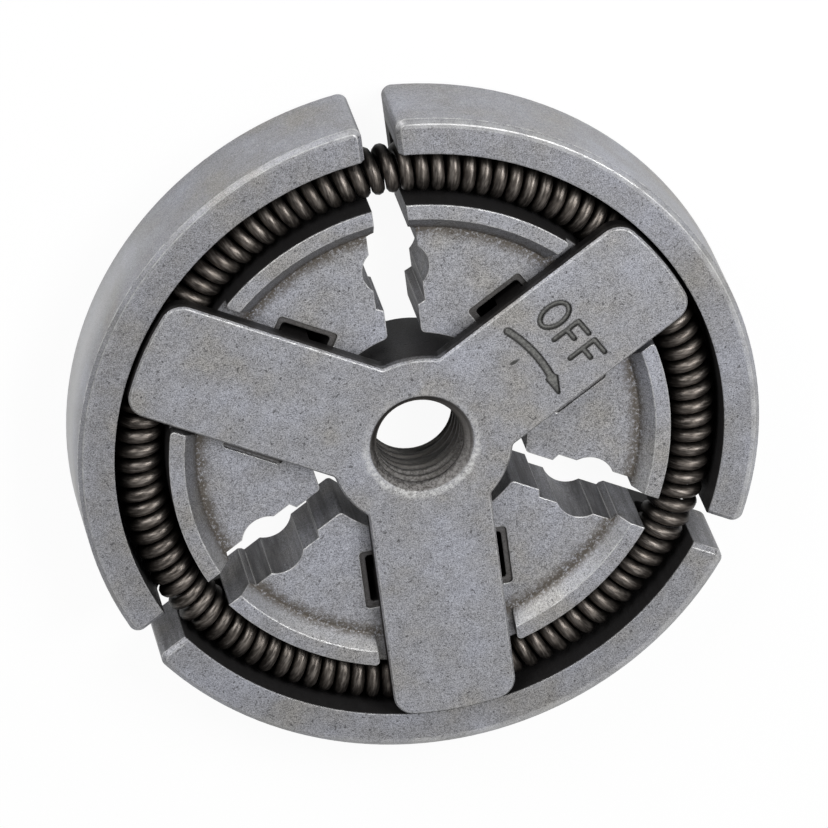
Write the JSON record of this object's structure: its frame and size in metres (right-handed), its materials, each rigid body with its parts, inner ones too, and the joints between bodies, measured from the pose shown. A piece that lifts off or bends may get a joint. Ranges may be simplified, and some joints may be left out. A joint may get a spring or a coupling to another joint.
{
  "type": "centrifugal clutch",
  "caption": "Centrifugal clutch for a chain saw: a threaded hub with radial arms, sliding shoes in a ring, and a closed coil spring that draws them in.",
  "frame": {"origin": "on the clutch's axis, halfway along the hub's threaded bore", "axes": "+Z along the axis towards the arm side, which is the front and looks up; the back rests at z = -5.875 mm. One arm points along -Y, the others 30 degrees above +X and -X."},
  "size_m": [0.068, 0.0682, 0.0105],
  "materials": {
    "hub_metal": "sintered, fine pores",
    "shoe_metal": "sintered, fine pores",
    "spring_wire": "dark oiled wire"
  },
  "bodies": {
    "hub": {"hub": "hub_metal", "garter_spring": "spring_wire"},
    "shoe_1": {"shoe_1": "shoe_metal"},
    "shoe_2": {"shoe_2": "shoe_metal"},
    "shoe_3": {"shoe_3": "shoe_metal"}
  },
  "joints": [
    {"name": "shoe_1_slide", "type": "slide", "parent": "hub", "child": "shoe_1", "axis": [0, -1, 0], "range_m": [0, 0.002], "stiffness_N_per_m": 18000, "springref_m": -0.0001, "deforming": ["garter_spring"]},
    {"name": "shoe_2_slide", "type": "slide", "parent": "hub", "child": "shoe_2", "axis": [0.866, 0.5, 0], "range_m": [0, 0.002], "stiffness_N_per_m": 18000, "springref_m": -0.0001, "deforming": ["garter_spring"]},
    {"name": "shoe_3_slide", "type": "slide", "parent": "hub", "child": "shoe_3", "axis": [-0.866, 0.5, 0], "range_m": [0, 0.002], "stiffness_N_per_m": 18000, "springref_m": -0.0001, "deforming": ["garter_spring"]}
  ]
}
